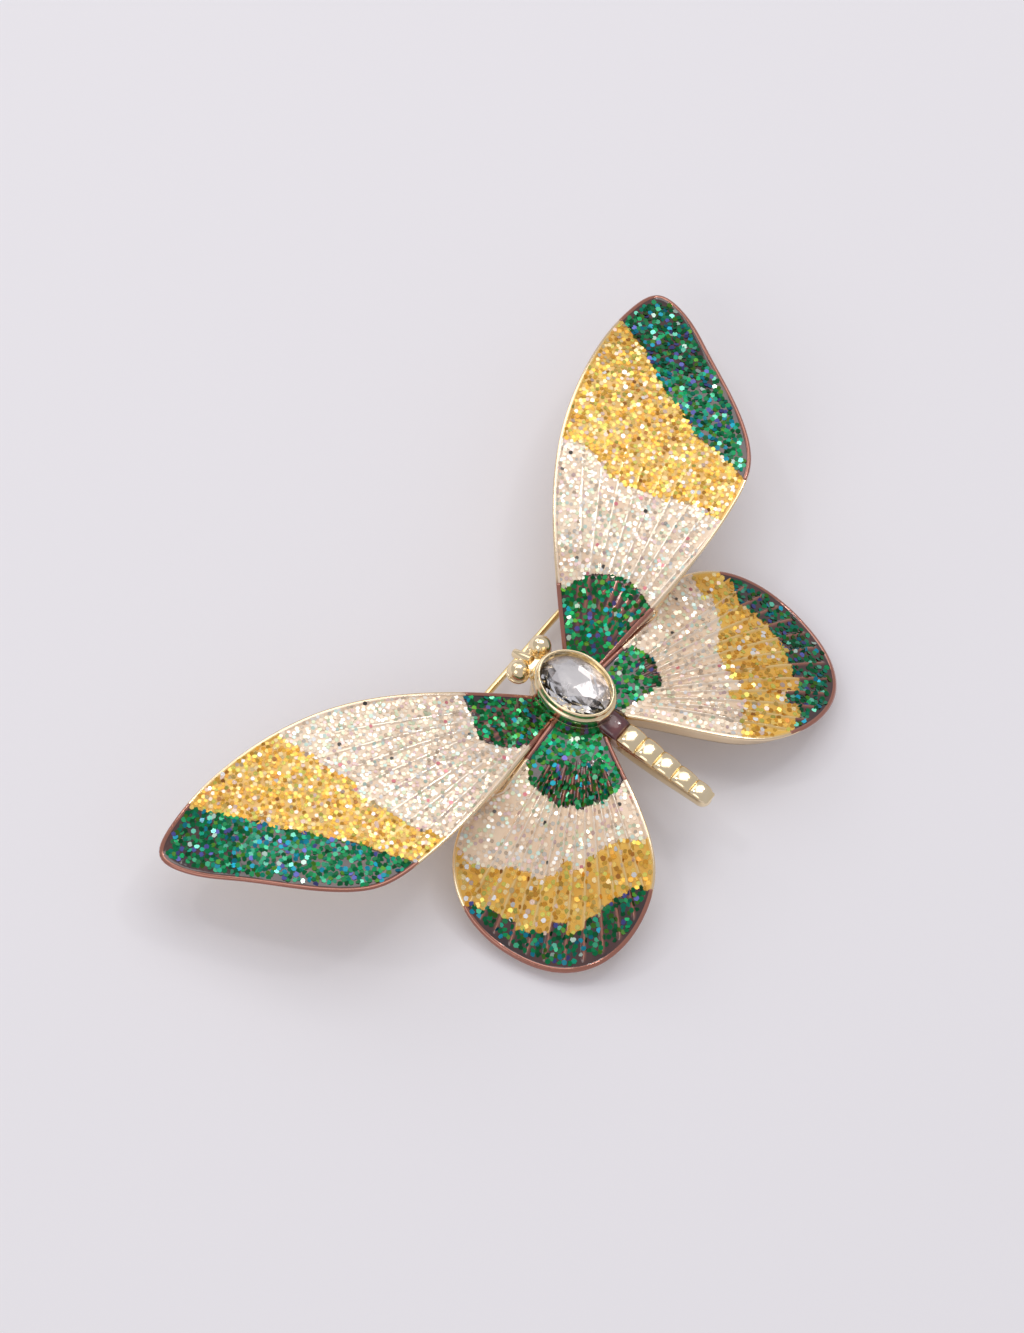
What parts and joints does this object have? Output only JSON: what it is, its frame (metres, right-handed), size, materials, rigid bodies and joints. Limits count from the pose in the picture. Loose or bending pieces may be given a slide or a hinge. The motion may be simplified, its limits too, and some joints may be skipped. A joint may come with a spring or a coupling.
{
  "type": "brooch",
  "caption": "Butterfly brooch: arched gilt wings filled with glitter enamels, an oval facetted stone, a jointed abdomen, and a hinged pin with a turning safety catch on its back.",
  "frame": {"origin": "under the middle of the outline, on the plane that the brooch lies on", "axes": "+Z out of the front, +Y towards the head, +X towards the viewer's right wing seen from the front; the pin lies along X"},
  "size_m": [0.085, 0.0433, 0.011],
  "materials": {
    "gold": "polished",
    "wing_gold": "polished",
    "green_enamel": "glossy with glitter",
    "amber_enamel": "glossy with glitter",
    "clear_enamel": "glossy with glitter",
    "brown_enamel": "glossy",
    "crystal": "clear, facetted",
    "foil": "mirror"
  },
  "bodies": {
    "brooch": {"thorax": "gold", "bezel_cup": "gold", "head": "gold", "eye_left": "gold", "eye_right": "gold", "snout": "gold", "abdomen_base": "gold", "abdomen_segments": "gold", "hinge_bracket": "gold", "hinge_rivet": "gold", "catch_barrel": "gold", "forewing_right_tray": "wing_gold", "forewing_left_tray": "wing_gold", "hindwing_right_tray": "wing_gold", "hindwing_left_tray": "wing_gold", "forewing_right_enamel_root": "green_enamel", "forewing_right_enamel_clear": "clear_enamel", "forewing_right_enamel_amber": "amber_enamel", "forewing_right_enamel_tip": "green_enamel", "forewing_left_enamel_root": "green_enamel", "forewing_left_enamel_clear": "clear_enamel", "forewing_left_enamel_amber": "amber_enamel", "forewing_left_enamel_tip": "green_enamel", "hindwing_right_enamel_root": "green_enamel", "hindwing_right_enamel_clear": "clear_enamel", "hindwing_right_enamel_amber": "amber_enamel", "hindwing_right_enamel_tip": "green_enamel", "hindwing_left_enamel_root": "green_enamel", "hindwing_left_enamel_clear": "clear_enamel", "hindwing_left_enamel_amber": "amber_enamel", "hindwing_left_enamel_tip": "green_enamel", "abdomen_enamel": "brown_enamel", "stone": "crystal", "stone_foil": "foil"},
    "pin": {"pin_stem": "gold"},
    "catch_lock": {"catch_sleeve": "gold"}
  },
  "joints": [
    {"name": "pin_swing", "type": "hinge", "parent": "brooch", "child": "pin", "pos_m": [-0.014, 0.00709, 0.0018], "axis": [0, 1, 0], "range_deg": [0, 85]},
    {"name": "lock_turn", "type": "hinge", "parent": "brooch", "child": "catch_lock", "pos_m": [0.014, 0.00709, 0.0018], "axis": [-1, 0, 0], "range_deg": [0, 110]}
  ]
}
